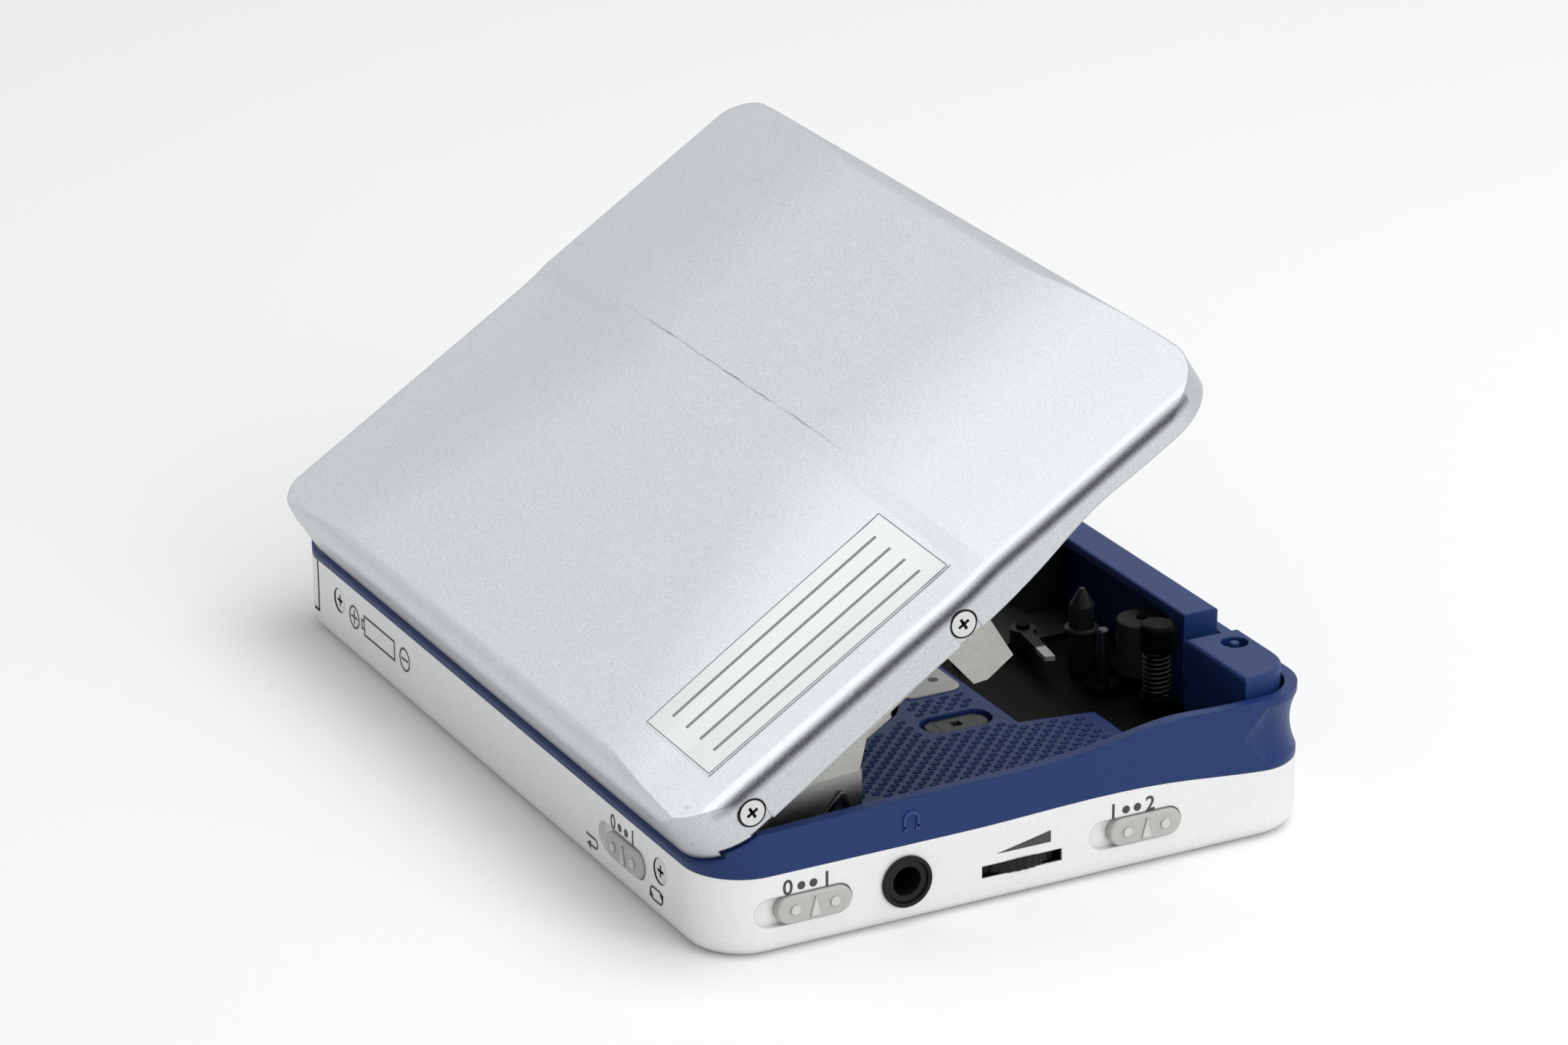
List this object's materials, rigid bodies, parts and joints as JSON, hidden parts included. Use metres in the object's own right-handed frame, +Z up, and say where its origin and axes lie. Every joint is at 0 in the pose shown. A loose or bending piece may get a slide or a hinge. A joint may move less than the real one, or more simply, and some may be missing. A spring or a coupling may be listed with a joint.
{
  "type": "portable cassette player",
  "caption": "Slim portable cassette player with its cover open: metal cover and holder, blue frame, dark tape drive, side controls and headphone socket.",
  "frame": {"origin": "middle of the underside of the lower case", "axes": "+X along the case towards the control face, +Y from the hinge side towards the catch side, +Z up"},
  "size_m": [0.1171, 0.0826, 0.0612],
  "materials": {
    "silver_shell": "satin",
    "white_shell": "satin",
    "blue_plastic": "satin",
    "black_plastic": "matte",
    "grey_plastic": "satin",
    "label": "satin",
    "steel": "brushed",
    "dark_steel": "dark",
    "bright_steel": "polished",
    "brass": "turned",
    "rubber": "matte",
    "board": "matte",
    "white_plastic": "matte"
  },
  "bodies": {
    "base": {"lower_case": "white_shell", "mid_frame": "blue_plastic", "chassis": "black_plastic", "capstan_bushes": "brass", "locating_pins": "black_plastic", "lift_post": "black_plastic", "lift_spring": "dark_steel", "front_wall": "blue_plastic", "corner_blocks": "blue_plastic", "tape_plate": "grey_plastic", "hinge_brackets": "steel", "hinge_pins": "bright_steel", "leaf_springs": "dark_steel", "circuit_board": "board", "board_controls": "black_plastic", "headphone_jack": "black_plastic", "jack_ring": "black_plastic", "battery_tube": "black_plastic", "battery_contact": "bright_steel", "key_springs": "steel", "case_screws": "bright_steel", "motor": "steel", "drive_belt": "rubber"},
    "cover": {"cover_shell": "silver_shell", "cover_label": "label", "cover_screws": "bright_steel", "cassette_holder": "steel", "catch_tongue": "steel"},
    "door": {"battery_door": "white_shell", "door_contact": "bright_steel"},
    "bass_switch": {"bass_knob": "grey_plastic"},
    "tape_switch": {"tape_knob": "grey_plastic"},
    "reverse_switch": {"reverse_knob": "grey_plastic"},
    "volume": {"volume_wheel": "black_plastic"},
    "rewind": {"rewind_key": "grey_plastic"},
    "play": {"play_key": "grey_plastic"},
    "forward": {"forward_key": "grey_plastic"},
    "stop": {"stop_key": "grey_plastic"},
    "opener": {"open_slider": "grey_plastic", "catch_hook": "steel"},
    "left_reel": {"left_spindle": "white_plastic", "left_reel_gear": "white_plastic"},
    "right_reel": {"right_spindle": "white_plastic", "right_reel_gear": "white_plastic"},
    "idler_swing": {"idler_arm": "steel"},
    "idler_wheel": {"idler_gear": "white_plastic"},
    "pulley": {"motor_pulley": "brass"},
    "belt_roller": {"belt_idler": "white_plastic"},
    "left_drive": {"left_flywheel": "brass", "left_capstan": "bright_steel"},
    "right_drive": {"right_flywheel": "brass", "right_capstan": "bright_steel"},
    "left_arm": {"left_pinch_arm": "black_plastic"},
    "right_arm": {"right_pinch_arm": "black_plastic"},
    "left_roller": {"left_pinch_roller": "rubber"},
    "right_roller": {"right_pinch_roller": "rubber"},
    "head_slide": {"head_carriage": "steel", "tape_head": "steel"},
    "lever": {"tape_lever": "steel"},
    "sensor": {"sensor_lever": "black_plastic"}
  },
  "joints": [
    {"name": "cover_hinge", "type": "hinge", "parent": "base", "child": "cover", "pos_m": [0, -0.0338, 0.0144], "axis": [1, 0, 0], "range_deg": [-32.5, 0]},
    {"name": "door_hinge", "type": "hinge", "parent": "base", "child": "door", "pos_m": [-0.0572, -0.01805, 0.0066], "axis": [0, 0, -1], "range_deg": [0, 90]},
    {"name": "bass_slide", "type": "slide", "parent": "base", "child": "bass_switch", "axis": [0, -1, 0], "range_m": [0, 0.0024]},
    {"name": "tape_slide", "type": "slide", "parent": "base", "child": "tape_switch", "axis": [0, -1, 0], "range_m": [0, 0.0024]},
    {"name": "reverse_slide", "type": "slide", "parent": "base", "child": "reverse_switch", "axis": [-1, 0, 0], "range_m": [0, 0.0024]},
    {"name": "volume_turn", "type": "hinge", "parent": "base", "child": "volume", "pos_m": [0.05055, -0.00012, 0.00433], "axis": [0, 0, 1], "range_deg": [-140, 140]},
    {"name": "rewind_press", "type": "slide", "parent": "base", "child": "rewind", "axis": [0, -1, 0], "range_m": [0, 0.001]},
    {"name": "play_press", "type": "slide", "parent": "base", "child": "play", "axis": [0, -1, 0], "range_m": [0, 0.001]},
    {"name": "forward_press", "type": "slide", "parent": "base", "child": "forward", "axis": [0, -1, 0], "range_m": [0, 0.001]},
    {"name": "stop_press", "type": "slide", "parent": "base", "child": "stop", "axis": [0, -1, 0], "range_m": [0, 0.001]},
    {"name": "open_slide", "type": "slide", "parent": "base", "child": "opener", "axis": [1, 0, 0], "range_m": [0, 0.0016]},
    {"name": "left_reel_spin", "type": "hinge", "parent": "base", "child": "left_reel", "pos_m": [-0.02125, -0.0052, 0.009], "axis": [0, 0, 1], "continuous": true},
    {"name": "right_reel_spin", "type": "hinge", "parent": "base", "child": "right_reel", "pos_m": [0.02125, -0.0052, 0.009], "axis": [0, 0, 1], "continuous": true},
    {"name": "idler_swing_joint", "type": "hinge", "parent": "base", "child": "idler_swing", "pos_m": [0, 0.0088, 0.0076], "axis": [0, 0, 1], "range_deg": [-20, 20]},
    {"name": "idler_spin", "type": "hinge", "parent": "idler_swing", "child": "idler_wheel", "pos_m": [0, -0.0052, 0.006], "axis": [0, 0, 1], "continuous": true},
    {"name": "pulley_spin", "type": "hinge", "parent": "base", "child": "pulley", "pos_m": [-0.044, 0.008, 0.007], "axis": [0, 0, 1], "continuous": true},
    {"name": "belt_roller_spin", "type": "hinge", "parent": "base", "child": "belt_roller", "pos_m": [0.0435, 0.02, 0.007], "axis": [0, 0, 1], "continuous": true},
    {"name": "left_capstan_spin", "type": "hinge", "parent": "base", "child": "left_drive", "pos_m": [-0.0295, 0.0273, 0.006], "axis": [0, 0, 1], "continuous": true},
    {"name": "right_capstan_spin", "type": "hinge", "parent": "base", "child": "right_drive", "pos_m": [0.0295, 0.0273, 0.006], "axis": [0, 0, 1], "continuous": true},
    {"name": "left_arm_swing", "type": "hinge", "parent": "base", "child": "left_arm", "pos_m": [-0.0185, 0.0326, 0.01], "axis": [0, 0, 1], "range_deg": [0, 6]},
    {"name": "right_arm_swing", "type": "hinge", "parent": "base", "child": "right_arm", "pos_m": [0.0185, 0.0326, 0.01], "axis": [0, 0, 1], "range_deg": [-6, 0]},
    {"name": "left_roller_spin", "type": "hinge", "parent": "left_arm", "child": "left_roller", "pos_m": [-0.0295, 0.0326, 0.013], "axis": [0, 0, 1], "continuous": true},
    {"name": "right_roller_spin", "type": "hinge", "parent": "right_arm", "child": "right_roller", "pos_m": [0.0295, 0.0326, 0.013], "axis": [0, 0, 1], "continuous": true},
    {"name": "head_in", "type": "slide", "parent": "base", "child": "head_slide", "axis": [0, -1, 0], "range_m": [0, 0.003]},
    {"name": "lever_swing", "type": "hinge", "parent": "base", "child": "lever", "pos_m": [0.0145, 0.025, 0.011], "axis": [0, 0, 1], "range_deg": [-6, 6]},
    {"name": "sensor_dip", "type": "hinge", "parent": "base", "child": "sensor", "pos_m": [0.032, 0.0036, 0.0098], "axis": [1, 0, 0], "range_deg": [-3, 0]}
  ],
  "couplings": [
    {"joint": "pulley_spin", "follows": "left_capstan_spin", "ratio": 3.8723},
    {"joint": "right_capstan_spin", "follows": "left_capstan_spin", "ratio": -1},
    {"joint": "belt_roller_spin", "follows": "left_capstan_spin", "ratio": 2.6187}
  ]
}
